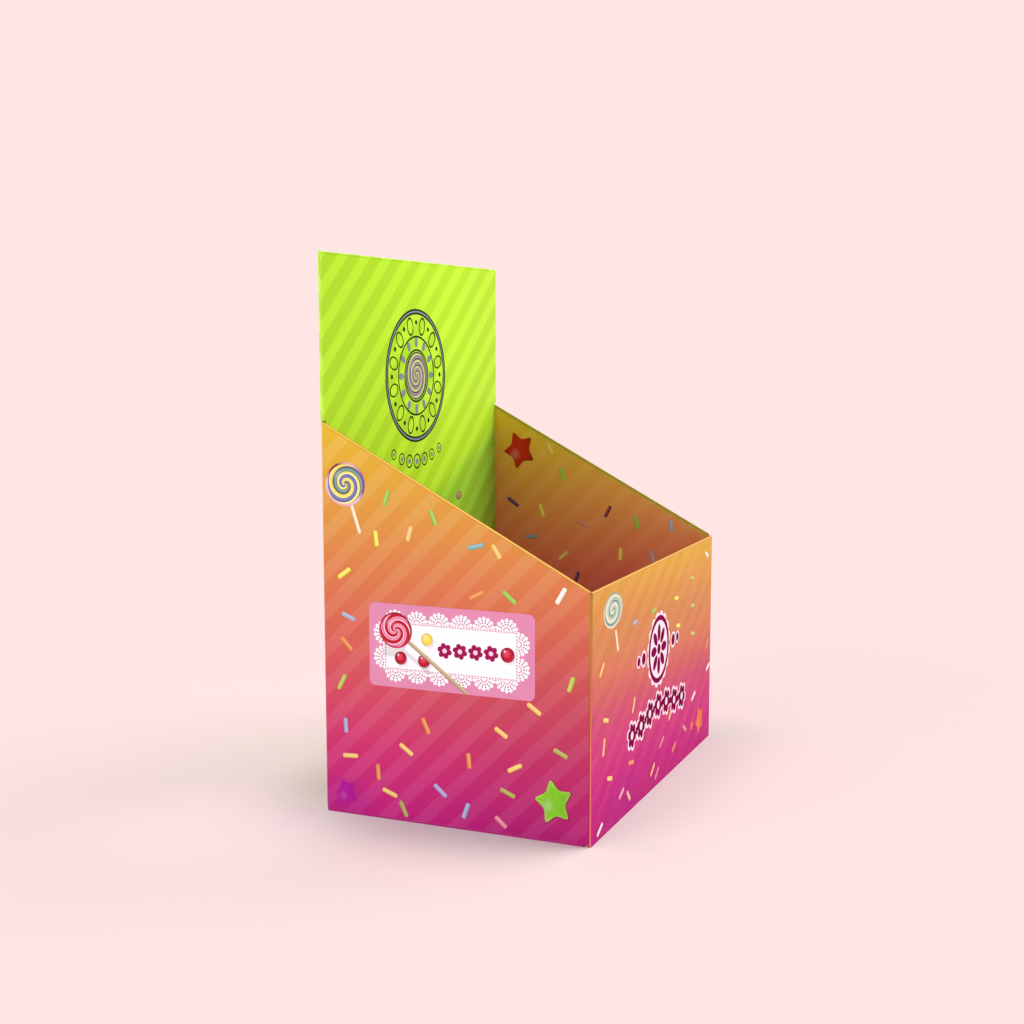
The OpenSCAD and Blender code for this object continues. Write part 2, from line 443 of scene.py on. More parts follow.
def rimPaint(name, out, drop, stops, inner=rims["inner"]):
    # out runs from the outer face inwards, drop from the rim's top down
    paint = Paint(name)
    inward, down = out(paint), drop(paint)
    line, fall = rims["line"], rims["fall"]
    place = (paint.y - frontFace) / (backFace - frontFace)
    # painted highlight: the bright line along the outer edge, over the painted shade of the inner part
    lit = paint.smooth(inward, line + 0.15, line) * paint.smooth(down, fall + 0.1, fall)
    colour = paint.mix(lit, inner, paint.ramp(place, stops))
    outer = paint.smooth(inward, 0.1, 0.05) * paint.smooth(down, fall, fall + 0.1)
    colour = paint.mix(outer, colour, paint.ramp(place, rims["outerStops"]))
    return boardFinish(paint, cracked(paint, colour, rims["crack"], lit))


def plainBoardPaint(name, colour, flecks):
    # board in one colour with fine darker fibres
    paint = Paint(name)
    fleck = paint.smooth(paint.noise(0.9, 5.0), 0.6, 0.78)
    return boardFinish(paint, paint.mix(fleck * flecks, colour, board["fleck"]))


# Fine grain of paper and inks: each finish names the values in which it differs from these
surface = {
    "grain": 1.1,              # noise scale per mm
    "detail": 3.0,
    "toneDepth": 0.0,
    "roughness": 0.4,
    "roughDepth": 0.1,
    "bump": 0.2,
    "relief": 0.00003,         # in metres
    "coat": 0.08,
    "specular": 0.06,
}


def grained(paint, colour, **own):
    kind = {**surface, **own}
    grain = paint.noise(kind["grain"], kind["detail"])
    if kind["toneDepth"]:
        colour = paint.shade(colour, (grain - 0.5) * kind["toneDepth"] + 1)
    roughness = (grain - 0.5) * kind["roughDepth"] + kind["roughness"]
    normal = paint.bump(grain, kind["bump"], kind["relief"])
    return paint.finish(colour, roughness, normal, kind["coat"], kind["specular"])


def labelPaint(name, colour, paler):
    # coated paper that turns a little paler in broad patches
    paint = Paint(name)
    sheen = paint.smooth(paint.noise(0.02, 2.0), 0.3, 0.7)
    colour = paint.mix(sheen, colour, paler)
    return grained(paint, colour, grain=0.8, detail=4.0, toneDepth=0.03, roughness=0.36, coat=0.12)


def inkPaint(name, colour):
    # one printed ink, matt and with a little grain
    return grained(Paint(name), colour, grain=0.9, detail=4.0, toneDepth=0.07, roughness=0.62,
                   roughDepth=0.12, coat=0.0, specular=0.0)


finishes = {
    "left_panel": sidePaint("Left_wall_print", lambda p: p.y * -1, -backFace, -frontFace),
    "right_panel": sidePaint("Right_wall_print", lambda p: p.y, rightStart, backFace),
    "front_panel": frontPaint("Front_wall_print"),
    "back_liner": greenPaint("Header_print", 1, True),
    "header_fold": greenPaint("Header_fold_print", 1, False),
    "back_panel": greenPaint("Back_print", -1, False),
    "left_liner": innerPaint("Left_inside_print"),
    "right_liner": innerPaint("Right_inside_print"),
    "front_liner": innerFrontPaint("Front_inside_print"),
    "left_rim_fold": rimPaint("Left_rim_print", lambda p: p.x - leftFace, sideDrop, rims["leftStops"]),
    "front_rim_fold": rimPaint("Front_rim_print", lambda p: p.y - frontFace, lambda p: frontTop - p.z,
                               rims["frontStops"]),
    "right_rim_fold": rimPaint("Right_rim_print", lambda p: rightFace - p.x, sideDrop, rims["rightShadedStops"],
                               rims["rightShadedInner"]),
    "left_label": labelPaint("Label_paper", (222, 141, 176), (226, 147, 180)),
    "glue_flap": sidePaint("Glue_flap_print", lambda p: backFace + rightFace - p.x, frontFace,
                           backFace + rightFace - flapEnd),
    "bottom_panel": plainBoardPaint("Base_print", (186, 42, 124), 0.05),
    "left_dust_flap": plainBoardPaint("Dust_flap_board", board["bare"], 0.3),
    "tuck_flap": plainBoardPaint("Tuck_flap_board", board["bare"], 0.3),
}
finishes["right_dust_flap"] = finishes["left_dust_flap"]
for nodeName, material in finishes.items():
    cadNodes[nodeName].data.materials.clear()
    cadNodes[nodeName].data.materials.append(material)
print("print:", len(finishes), "nodes painted")


# Faces that carry printed motifs: where each starts, which way its drawing runs, and its body and slot
def faceAt(origin, along, body, slot):
    up = Vector((0, 0, 1))
    axes = Matrix((along, up, Vector(along).cross(up))).transposed().to_4x4()
    return {"matrix": Matrix.Translation(Vector(origin) * mm) @ axes, "body": body, "slot": slot}


faces = {
    "left": faceAt((leftFace, 0, 0), (0, -1, 0), "left", "side_print"),
    "label": faceAt((labelFace, 0, 0), (0, -1, 0), "left", "label_paper"),
    "front": faceAt((0, frontFace, 0), (1, 0, 0), "front", "front_print"),
    "right": faceAt((rightFace, 0, 0), (0, 1, 0), "right", "side_print"),
    "header": faceAt((0, headerFace, 0), (1, 0, 0), "back", "green_print"),
    "rightInside": faceAt((rightInside, 0, 0), (0, -1, 0), "right", "inner_print"),
    "leftInside": faceAt((leftInside, 0, 0), (0, 1, 0), "left", "inner_print"),
    "frontInside": faceAt((0, frontInside, 0), (-1, 0, 0), "front", "inner_print"),
}
ink = 0.04                     # thickness of a printed motif, in mm
templates = []


# Flat templates for the motifs, modelled at the origin; the round ones are one unit in radius
def startPiece():
    if bpy.context.mode != "OBJECT":
        bpy.ops.object.mode_set(mode="OBJECT")
    bpy.ops.object.select_all(action="DESELECT")


def newPiece(name):
    # the primitive that was just added, with its place and size applied
    piece = bpy.context.active_object
    piece.name = name
    bpy.ops.object.transform_apply(location=True, rotation=True, scale=True)
    return piece


def pick(piece, test, kind="verts"):
    # selects the vertices, edges or faces that pass the test; leaves edit mode on
    bpy.ops.object.mode_set(mode="OBJECT")
    mesh = piece.data
    for part in (mesh.vertices, mesh.edges, mesh.polygons):
        for item in part:
            item.select = False
    places = [v.co for v in mesh.vertices]
    if kind == "verts":
        for v in mesh.vertices:
            v.select = bool(test(v.co))
    elif kind == "edges":
        for e in mesh.edges:
            e.select = bool(test(places[e.vertices[0]], places[e.vertices[1]]))
    else:
        for f in mesh.polygons:
            f.select = bool(test(f.center, f.normal))
    bpy.context.tool_settings.mesh_select_mode = (kind == "verts", kind == "edges", kind == "faces")
    bpy.ops.object.mode_set(mode="EDIT")


def isUp(centre, normal):
    return normal.z > 0.9


def isUpright(a, b):
    return abs(a.z - b.z) > ink * 0.5


def drawn(piece, half=(1.0, 1.0)):
    # leaves edit mode, and writes the drawing plane: 0 to 1 over twice that half width
    bpy.ops.object.mode_set(mode="OBJECT")
    mesh = piece.data
    layer = mesh.uv_layers.active or mesh.uv_layers.new(name="drawing")
    for loop in mesh.loops:
        co = mesh.vertices[loop.vertex_index].co
        layer.data[loop.index].uv = (co.x / half[0] / 2 + 0.5, co.y / half[1] / 2 + 0.5)
    templates.append(piece)
    return piece


def roundPlate(name, sides):
    startPiece()
    bpy.ops.mesh.primitive_cylinder_add(vertices=sides, radius=1.0, depth=ink, location=(0, 0, ink / 2))
    return newPiece(name)


def discPiece(name, sides):
    # a flat sweet: a round plate whose upper edge is rolled in
    piece = roundPlate(name, sides)
    pick(piece, isUp, "faces")
    bpy.ops.mesh.inset(thickness=0.12, depth=ink * 0.4)
    return drawn(piece)


def barPiece(name, length, width, corner):
    # a flat bar with rounded corners
    startPiece()
    bpy.ops.mesh.primitive_cube_add(size=1, location=(0, 0, ink / 2), scale=(length, width, ink))
    piece = newPiece(name)
    pick(piece, isUpright, "edges")
    bpy.ops.mesh.bevel(offset=corner, segments=4, affect="EDGES")
    pick(piece, isUp, "faces")
    bpy.ops.mesh.inset(thickness=min(corner, width / 4) * 0.5, depth=ink * 0.3)
    return drawn(piece, (length / 2, width / 2))


def ringPiece(name, width, sides):
    # a flat ring: a disc inset once, its middle taken out and the rest raised
    startPiece()
    bpy.ops.mesh.primitive_circle_add(vertices=sides, radius=1.0, fill_type="NGON")
    piece = newPiece(name)
    bpy.ops.object.mode_set(mode="EDIT")
    bpy.ops.mesh.select_all(action="SELECT")
    bpy.ops.mesh.inset(thickness=width)
    bpy.ops.mesh.delete(type="FACE")
    bpy.ops.mesh.select_all(action="SELECT")
    bpy.ops.mesh.extrude_region_move(TRANSFORM_OT_translate={"value": (0, 0, ink)})
    bpy.ops.mesh.select_all(action="SELECT")
    bpy.ops.mesh.normals_make_consistent(inside=False)
    return drawn(piece)


def petalPiece(name, petals, valley, steps=6):
    # a scalloped plate: the rim's points between two petals are drawn in towards the middle
    sides = petals * steps
    piece = roundPlate(name, sides)

    def stepsFromValley(co):
        turn = round(math.atan2(co.y, co.x) / (2 * math.pi) * sides) % steps
        return min(turn, steps - turn)

    for step in range(steps // 2):
        shrink = 1 - valley * (1 - step / (steps / 2)) ** 2
        pick(piece, lambda co, step=step: stepsFromValley(co) == step)
        bpy.ops.transform.resize(value=(shrink, shrink, 1), center_override=(0, 0, 0))
    return drawn(piece)


def starPiece(name, points, inner, corner):
    # a soft star with rounded points, its two flat sides divided from the middle
    piece = roundPlate(name, points * 2)
    pick(piece, lambda co: round(math.atan2(co.x, co.y) / math.pi * points) % 2 == 1)
    bpy.ops.transform.resize(value=(inner, inner, 1), center_override=(0, 0, 0))
    pick(piece, isUpright, "edges")
    bpy.ops.mesh.bevel(offset=corner, segments=5, affect="EDGES")
    pick(piece, isUp, "faces")
    bpy.ops.mesh.inset(thickness=0.08, depth=ink * 0.3)
    pick(piece, lambda centre, normal: abs(normal.z) > 0.999, "faces")
    bpy.ops.mesh.poke(offset=0.0)
    return drawn(piece)


# Copies of the templates on a face, joined into one named piece
def stick(face, template, at, size, material, turn=0.0, lift=0.0):
    across, up = size if isinstance(size, tuple) else (size, size)
    local = Matrix.Translation((at[0], at[1], lift)) @ Matrix.Rotation(math.radians(turn), 4, "Z")
    local = local @ Matrix.Diagonal((across, up, 1.0, 1.0))
    mesh = template.data.copy()
    mesh.transform(faces[face]["matrix"] @ Matrix.Diagonal((mm, mm, mm, 1.0)) @ local)
    mesh.materials.append(material)
    piece = bpy.data.objects.new(template.name + "_copy", mesh)
    bpy.context.scene.collection.objects.link(piece)
    return piece


def gather(name, face, rows):
    # each row is a template, its place, size and material, and where needed its turn and how far it is lifted
    pieces = [stick(face, *row) for row in rows]
    startPiece()
    for piece in pieces:
        piece.select_set(True)
    bpy.context.view_layer.objects.active = pieces[0]
    if len(pieces) > 1:
        bpy.ops.object.join()
    joined = bpy.context.active_object
    joined.name = name
    joined.data.name = name
    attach(joined, faces[face]["body"])


def around(centre, reach, turn):
    angle = math.radians(turn)
    return (centre[0] + math.cos(angle) * reach, centre[1] + math.sin(angle) * reach)


# Sprinkles: little sugar rods, with a bright line along one side and a dark one along the other
sprinkle = {
    "length": 9.4,
    "width": 2.6,
    "corner": 1.0,
    "outline": 0.2,            # how much darker the printed edge is
    "light": 0.14,
    "shadow": 0.26,
    "colours": {
        "lemon": (253, 240, 92), "honey": (250, 212, 112), "green": (158, 210, 78), "sand": (248, 210, 132),
        "teal": (138, 188, 186), "cream": (254, 250, 236), "orange": (237, 152, 78), "mist": (172, 184, 206),
        "leaf": (192, 205, 78), "sky": (168, 178, 222), "olive": (180, 181, 84), "violet": (178, 172, 224),
        "salmon": (234, 146, 152), "plum": (96, 52, 120), "wine": (138, 22, 62), "lilac": (206, 170, 200),
        "blush": (250, 176, 190), "dusk": (140, 168, 206), "rust": (176, 148, 104),
    },
}


def sprinklePaint(name, colour):
    paint = Paint(name)
    u, v = paint.flat()
    light = paint.smooth(abs(v - 0.35), 0.5, 0.1) * paint.smooth(abs(u), 0.95, 0.6)
    shadow = paint.smooth(v, -0.35, -0.95) * sprinkle["shadow"]
    inside = ((1 - abs(u)) * sprinkle["length"] / 2).least((1 - abs(v)) * sprinkle["width"] / 2)
    outline = paint.smooth(inside, 0.36, 0.12) * sprinkle["outline"]
    tone = paint.mix(light * sprinkle["light"], colour, white)
    tone = paint.shade(tone, (1 - shadow) * (1 - outline))
    return grained(paint, tone, toneDepth=0.08, roughness=0.42, coat=0.06)


sprinklePaints = {}
for name, colour in sprinkle["colours"].items():
    sprinklePaints[name] = sprinklePaint("Sprinkle_" + name, colour)
rod = barPiece("rod", sprinkle["length"], sprinkle["width"], sprinkle["corner"])

# along the wall, height, turn from level, colour
leftSprinkles = [
    (-38.6, 180, 70, "green"), (-45.2, 157.6, -83, "lemon"), (-24.8, 161.2, 74, "sand"),
    (-10.6, 170.6, -68, "green"), (14.4, 156.4, 14, "teal"), (26.4, 154.4, -58, "honey"),
    (63, 133.2, 60, "cream"), (-65.2, 137.2, 36, "lemon"), (15, 130.2, 26, "orange"),
    (33.8, 130.4, -40, "green"), (-63, 113, -22, "mist"), (-64.4, 97.6, -45, "orange"),
    (-67.6, 75.6, 62, "leaf"), (68.8, 86.8, 72, "leaf"), (48, 71.6, -35, "honey"), (-65.6, 51, -86, "sky"),
    (-15.8, 55.8, -65, "orange"), (29, 56.8, -33, "honey"), (-27.8, 41.2, -35, "honey"),
    (-62.8, 33.8, 3, "honey"), (10, 39.2, -85, "orange"), (37, 38.2, 28, "honey"), (63, 49.2, -25, "olive"),
    (-45.4, 26.4, -86, "orange"), (-38.2, 15.4, -20, "honey"), (-7.2, 20.4, -40, "violet"),
    (32.8, 24, -22, "olive"), (-29.8, 7.2, -65, "olive"), (8.2, 11, 70, "sky"), (28.8, 7.4, -40, "salmon"),
]
frontSprinkles = [
    (-46, 107.4, 0, "mist"), (-10.6, 108, 5, "green"), (35.7, 107.6, -8, "lemon"), (71, 114.6, -10, "leaf"),
    (105.4, 125, -25, "cream"), (72.4, 96.6, -8, "leaf"), (73.4, 78.4, -12, "leaf"),
    (40.4, 89.6, -8, "lemon"), (-102, 92, 42, "honey"), (-95, 63, -15, "honey"), (-98, 49, 75, "honey"),
    (-88, 29, -15, "honey"), (-50.6, 27.6, -10, "orange"), (-67.6, 14.6, 25, "blush"),
    (-55, 9.6, -48, "sand"), (-9.6, 12, 35, "honey"), (-1, 7.4, 35, "salmon"), (34.4, 14, 28, "orange"),
    (77.4, 36.4, 25, "cream"), (112, 48.6, 20, "cream"), (109, 65, 50, "orange"), (-103.6, 5.4, 28, "cream"),
    (-47, 60, 60, "sand"), (25.8, 37, 40, "sand"), (8.4, 24, 30, "salmon"), (58, 20, -30, "salmon"),
]
rightInsideSprinkles = [
    (-35.2, 190.4, -62, "honey"), (-26, 173.4, -72, "green"), (-62.6, 152.4, -35, "plum"),
    (-41.2, 147.4, -72, "lemon"), (-10.6, 139.8, -32, "salmon"), (7.2, 148.8, 62, "wine"),
    (27.8, 142.6, -75, "green"), (52, 141.2, -85, "mist"), (-48.6, 128.8, 5, "dusk"),
    (-24.8, 116.8, 40, "sand"), (16.6, 120.2, 88, "lemon"), (39.2, 119.2, -75, "lilac"),
    (-15.2, 101.8, 70, "plum"),
]
scattered = {
    "colours": ["lemon", "honey", "green", "sand", "teal", "cream", "orange", "mist", "leaf", "sky", "olive",
                "salmon"],
    "heights": (9, 205),
    "turns": 88,
    "apart": 19,
    "belowRim": 9,
    "tries": 4000,
}


def scatter(count, seed, reach, top, keepOff=()):
    # sprinkles for the faces that the photograph doesn't show, spaced apart and turned at random
    dice = random.Random(seed)
    placed = []
    tries = 0
    while len(placed) < count and tries < scattered["tries"]:
        tries += 1
        u = dice.uniform(-reach, reach)
        v = dice.uniform(*scattered["heights"])
        turn = dice.uniform(-scattered["turns"], scattered["turns"])
        name = dice.choice(scattered["colours"])
        close = any(math.hypot(u - a, v - b) < scattered["apart"] for a, b, _, _ in placed)
        blocked = any(math.hypot(u - a, v - b) < c for a, b, c in keepOff)
        if v < top(u) - scattered["belowRim"] and not close and not blocked:
            placed.append((u, v, turn, name))
    return placed


def rodsOn(face, rows, name):
    copies = []
    for u, v, turn, colour in rows:
        length = 0.98 + 0.07 * math.sin(u + v)     # no two rods are quite as long
        copies.append((rod, (u, v), (length, 1.0), sprinklePaints[colour], turn))
    gather(name, face, copies)


def sideRoof(u):
    return frontTop + (u - frontFace) * rimSlope


rodsOn("left", leftSprinkles, "left_wall_sprinkles")
rodsOn("front", frontSprinkles, "front_wall_sprinkles")
rodsOn("rightInside", rightInsideSprinkles, "right_inside_sprinkles")
sweetsThere = [(60, 186, 22), (-58, 24, 18)]       # along the wall, height, and how far sprinkles keep off
rodsOn("right", scatter(34, 7, 72, sideRoof, sweetsThere), "right_wall_sprinkles")
rodsOn("leftInside", scatter(26, 11, 68, sideRoof), "left_inside_sprinkles")
rodsOn("frontInside", scatter(26, 5, 108, lambda u: frontTop), "front_inside_sprinkles")
print("sprinkles:", len(leftSprinkles) + len(frontSprinkles) + len(rightInsideSprinkles), "placed by eye")


# Swirl lollipops: a round sweet with curved arms of colour, a coloured rim and a stick
swirl = {
    "grow": 0.85,              # the arms wind on by this power of the radius
    "glossAt": (-0.35, 0.42),
    "gloss": 0.16,
    "edgeShade": 0.2,
    "stickFrom": 0.8,          # share of the sweet's radius where its stick begins
}
rainbowArms = [(0.0, (150, 134, 96)), (0.03, (250, 224, 104)), (0.2, (254, 236, 128)),
               (0.25, (232, 226, 170)), (0.28, (70, 72, 92)), (0.33, (124, 150, 200)),
               (0.43, (112, 104, 168)), (0.49, (84, 66, 110)), (0.52, (252, 246, 214)),
               (0.6, (240, 236, 122)), (0.68, (226, 210, 96)), (0.72, (70, 80, 84)),
               (0.78, (140, 188, 178)), (0.9, (92, 130, 134)), (0.96, (84, 62, 84)), (1.0, (150, 134, 96))]
rainbowRim = [(0.0, (238, 206, 220)), (0.25, (240, 172, 172)), (0.38, (232, 206, 240)),
              (0.45, (128, 54, 158)), (0.58, (146, 84, 178)), (0.68, (232, 190, 200)),
              (0.76, (222, 168, 150)), (0.82, (118, 34, 58)), (0.9, (162, 44, 78)),
              (0.97, (238, 190, 206)), (1.0, (238, 206, 220))]
seaArms = [(0.0, (238, 236, 206)), (0.3, (232, 228, 190)), (0.42, (94, 158, 164)), (0.55, (70, 138, 148)),
           (0.66, (196, 214, 182)), (0.85, (150, 192, 172)), (1.0, (238, 236, 206))]
seaRim = [(0.0, (226, 228, 200)), (0.3, (240, 232, 206)), (0.5, (216, 222, 196)), (0.75, (120, 160, 160)),
          (1.0, (226, 228, 200))]
mossArms = [(0.0, (226, 236, 160)), (0.28, (216, 228, 146)), (0.38, (58, 86, 62)), (0.54, (50, 76, 66)),
            (0.64, (194, 184, 196)), (0.82, (160, 120, 154)), (0.92, (84, 60, 78)), (1.0, (226, 236, 160))]
mossRim = [(0.0, (54, 80, 58)), (1.0, (48, 70, 60))]
cherryArms = [(0.0, (196, 24, 52)), (0.3, (188, 18, 46)), (0.38, (248, 206, 222)), (0.46, (252, 236, 240)),
              (0.54, (232, 120, 164)), (0.7, (226, 100, 150)), (0.78, (250, 214, 226)), (0.88, (204, 34, 62)),
              (1.0, (196, 24, 52))]
cherryRim = [(0.0, (206, 50, 86)), (0.3, (216, 62, 98)), (0.5, (150, 14, 44)), (0.8, (168, 20, 54)),
             (1.0, (206, 50, 86))]


def swirlPaint(name, arms, count, twist, rim, start=0.0, rimWidth=0.1):
    # arms of colour wound from the middle outwards, and a rim whose colour changes round the sweet
    paint = Paint(name)
    u, v, radius = paint.disc()
    turn = paint.turn(u, v)
    wound = turn * count + paint.maths("POWER", radius, swirl["grow"]) * twist * count + start
    edge = paint.smooth(radius, 1 - rimWidth * 1.3, 1 - rimWidth * 0.8)
    colour = paint.mix(edge, paint.ramp(wound.fract(), arms), paint.ramp(turn + 0.5, rim))
    glossU, glossV = swirl["glossAt"]
    gloss = paint.smooth(paint.length(u - glossU, (v - glossV) * 1.5), 0.4, 0.05)
    colour = paint.mix(gloss * swirl["gloss"], colour, white)
    colour = paint.shade(colour, 1 - paint.smooth(radius, 0.965, 1.0) * swirl["edgeShade"])
    return grained(paint, colour, grain=1.2, roughness=0.38, bump=0.15)


def stickPaint(name, colour, dark):
    # a stick that darkens towards its lower side
    paint = Paint(name)
    v = paint.flat()[1]
    tone = paint.mix(paint.smooth(v, 0.1, -0.9) * 0.8, colour, dark)
    return grained(paint, tone, grain=0.9, detail=4.0, toneDepth=0.1, roughness=0.45, coat=0.04)


swirlPaints = {
    "rainbow": swirlPaint("Rainbow_swirl", rainbowArms, 1, 1.5, rainbowRim, 0.5),
    "sea": swirlPaint("Sea_swirl", seaArms, 1, 2.2, seaRim),
    "moss": swirlPaint("Moss_swirl", mossArms, 2, 2.0, mossRim, 0.0, 0.06),
    "cherry": swirlPaint("Cherry_swirl", cherryArms, 3, 0.9, cherryRim),
}
paperStick = stickPaint("Paper_stick", (255, 247, 216), (226, 196, 150))
woodStick = stickPaint("Wood_stick", (206, 188, 148), (138, 118, 84))
sweetDisc = discPiece("sweet_disc", 64)
stickBar = barPiece("stick_bar", 1.0, 1.0, 0.12)


def lollipopOn(face, name, centre, size, stickEnd, paintName, stickWidth=2.0, material=paperStick, lift=0.0):
    # the stick first, then the sweet a little higher over its end
    radius = size[0]
    centre, end = Vector(centre), Vector(stickEnd)
    begin = centre + (end - centre).normalized() * radius * swirl["stickFrom"]
    run = end - begin
    turn = math.degrees(math.atan2(run.y, run.x))
    gather(name, face, [
        (stickBar, (begin + end) / 2, (run.length, stickWidth), material, turn, lift),
        (sweetDisc, centre, size, swirlPaints[paintName], 0, lift + ink * 0.4)])


lollipopOn("left", "left_wall_lollipop", (-64, 186.6), (12.2, 12.2), (-55.2, 160.0), "rainbow")
lollipopOn("front", "front_wall_lollipop", (-84.6, 121), (15.5, 9.61), (-75.6, 97), "sea", 2.6)
lollipopOn("right", "right_wall_lollipop", (60, 184.6), (12.2, 12.2), (68.4, 158.6), "rainbow")
print("lollipops: 3 on the walls")


# Jelly sweets: soft stars in clear colours, on the walls where larger sweets are printed
jelly = {
    "points": 5,
    "inner": 0.56,
    "corner": 0.13,
    "shadeShift": 0.22,
    "shadeSpread": 1.045,
}
jellyStar = starPiece("jelly_star", jelly["points"], jelly["inner"], jelly["corner"])


def jellyPaint(name, colour, edgeColour, glint):
    paint = Paint(name)
    u, v, radius = paint.disc()
    body = paint.mix(paint.smooth(radius, 0.45, 0.95), colour, edgeColour)
    gloss = paint.smooth(paint.length(u + 0.2, v - 0.3), 0.4, 0.05)
    body = paint.mix(gloss * glint, body, white)
    body = paint.shade(body, 1 - paint.smooth(v, 0.1, -0.9) * 0.16)
    return grained(paint, body, grain=0.8, roughness=0.36, relief=0.00004, coat=0.1)


jellyPaints = {
    "green": jellyPaint("Jelly_green", (132, 204, 44), (164, 222, 74), 0.14),
    "red": jellyPaint("Jelly_red", (214, 44, 30), (196, 30, 26), 0.14),
    "orange": jellyPaint("Jelly_orange", (238, 116, 38), (232, 106, 58), 0.12),
    "violet": jellyPaint("Jelly_violet", (184, 24, 156), (194, 34, 148), 0.05),
}
jellyShades = {
    "green": inkPaint("Jelly_shade_low", (138, 26, 84)),
    "red": inkPaint("Jelly_shade_high", (150, 84, 34)),
}


def jellyOn(at, turn, size, colour):
    # the sweet, and under it the thin printed shade that shows along its lower edge
    star = (jellyStar, at, size, jellyPaints[colour], turn, ink)
    if colour not in jellyShades:
        return [star]
    under = (at[0] + jelly["shadeShift"], at[1] - jelly["shadeShift"])
    spread = (size[0] * jelly["shadeSpread"], size[1] * jelly["shadeSpread"])
    return [star, (jellyStar, under, spread, jellyShades[colour], turn)]


gather("left_wall_jelly", "left", jellyOn((59.4, 22.2), 84, (13.0, 11.4), "green")
       + jellyOn((-65.5, 12.5), 100, (9.2, 7.6), "violet"))
gather("front_wall_jelly", "front", jellyOn((92.4, 17.0), 90, (10.4, 10.4), "orange")
       + jellyOn((74.6, 17.6), 60, (4.4, 4.0), "orange"))
gather("right_inside_jelly", "rightInside", jellyOn((-58, 189), 96, (13.4, 11.8), "red"))
gather("right_wall_jelly", "right", jellyOn((-58, 24), 80, (13.0, 11.4), "green"))
print("jelly sweets: 6")


# Label: a white lace mat on pink paper, with round sweets, small flowers and one lollipop on it
label = {
    "low": (-40.6, 85.4),
    "high": (39.0, 112.4),
    "scallop": 6.75,
    "scallops": (6, 2),        # along the mat's width and height
    "petals": 14,
    "lace": (255, 253, 255),
    "hole": (150, 30, 92),
    "holePitch": 0.2,
    "heart": (196, 56, 120),
    "thread": (184, 44, 112),
    "stitch": 1.7,
    "sweets": [(-14.6, 103.9, 3.5, "lemon"), (-30.6, 92.4, 3.7, "red"), (-16.4, 91.9, 3.7, "red"),
               (32.9, 99.4, 4.1, "red")],
    "sweetShadow": (0.9, -1.6, 0.2),       # right, up and depth
    "lollipopShadow": (-3.2, -5.0, 0.24),
    # how far each layer is lifted off the paper, in mm
    "lifts": {"border": -0.02, "mat": 0.02, "sweets": 0.06, "flowers": 0.06, "lollipop": 0.07,
              "hearts": 0.09},
}
labelLollipop = {"centre": (-33.6, 107.6), "radius": 10.0, "stickEnd": (9.4, 76.0), "stickWidth": 2.2}
labelFlowers = {"first": (-4.0, 98.6), "pitch": (9.1, 0.25), "count": 4, "size": 4.4, "heart": 0.3}


def lacePaint(name):
    # rows of pink pinholes that fan out from the middle of each scallop
    paint = Paint(name)
    u, v, radius = paint.disc()
    petals, rows = label["petals"], label["holePitch"]
    sideways = ((paint.turn(u, v) * petals + 0.5).fract() - 0.5) * radius * (2 * math.pi / petals)
    outward = ((radius / rows).fract() - 0.5) * rows
    hole = paint.smooth(paint.length(sideways, outward), 0.08, 0.05)
    hole = hole * paint.smooth(radius, 0.36, 0.4) * paint.smooth(radius, 0.96, 0.9)
    heart = paint.smooth(abs(radius - 0.26), 0.08, 0.04)
    colour = paint.mix(hole * 0.95, label["lace"], label["hole"])
    colour = paint.mix(heart * 0.6, colour, label["heart"])
    return grained(paint, colour, toneDepth=0.03, bump=0.15)


def matPaint(name):
    # the lace mat's white middle, with a stitched edge and the soft shadows of what lies on it
    paint = Paint(name)
    run, up = paint.y * -1, paint.z
    (runLow, upLow), (runHigh, upHigh) = label["low"], label["high"]
    edge = (run - runLow).least(runHigh - run).least((up - upLow).least(upHigh - up))
    dash = paint.smooth(abs(((run + up) / label["stitch"]).fract() - 0.5), 0.2, 0.3)
    stitch = paint.smooth(abs(edge - 0.75), 0.45, 0.3) * dash
    colour = paint.mix(stitch * 0.9, white, label["thread"])
    right, raised, depth = label["sweetShadow"]
    for u, v, size, _ in label["sweets"]:
        away = paint.length(run - (u + right), (up - (v + raised)) * 1.15)
        colour = paint.shade(colour, 1 - paint.smooth(away, size * 1.3, size * 0.7) * depth)
    right, raised, depth = label["lollipopShadow"]
    u, v = labelLollipop["centre"]
    endU, endV = labelLollipop["stickEnd"]
    slope = math.atan2(endV - v, endU - u)
    radius, halfStick = labelLollipop["radius"], labelLollipop["stickWidth"] / 2
    fromU, fromV = run - (u + right), up - (v + raised)
    disc = paint.smooth(paint.length(fromU, fromV), radius + 0.4, radius - 0.4)
    along = fromU * math.cos(slope) + fromV * math.sin(slope)
    beside = fromV * math.cos(slope) - fromU * math.sin(slope)
    bar = paint.smooth(abs(beside), halfStick + 0.2, halfStick - 0.2) * paint.smooth(along, 0.0, 4.0)
    colour = paint.shade(colour, 1 - disc.most(bar) * depth)
    return grained(paint, colour, toneDepth=0.02, bump=0.15)


def roundSweetPaint(name, colour, deep, pale):
    # a glossy ball: deep at its edge, with a soft light, a bright spot and light thrown back from below
    paint = Paint(name)
    u, v, radius = paint.disc()
    tone = paint.mix(paint.smooth(radius, 0.4, 1.0), colour, deep)
    lit = paint.smooth(paint.length(u + 0.18, v - 0.22), 0.75, 0.2)
    tone = paint.mix(lit * 0.4, tone, pale)
    spot = paint.smooth(paint.length((u + 0.38) * 1.2, v - 0.45), 0.2, 0.1)
    tone = paint.mix(spot * 0.75, tone, white)
    bounce = paint.smooth(abs(radius - 0.86), 0.1, 0.03) * paint.smooth(v - u, -0.5, -1.0)
    tone = paint.mix(bounce * 0.35, tone, pale)
    return grained(paint, tone, grain=1.4, roughness=0.32, bump=0.1, coat=0.12)


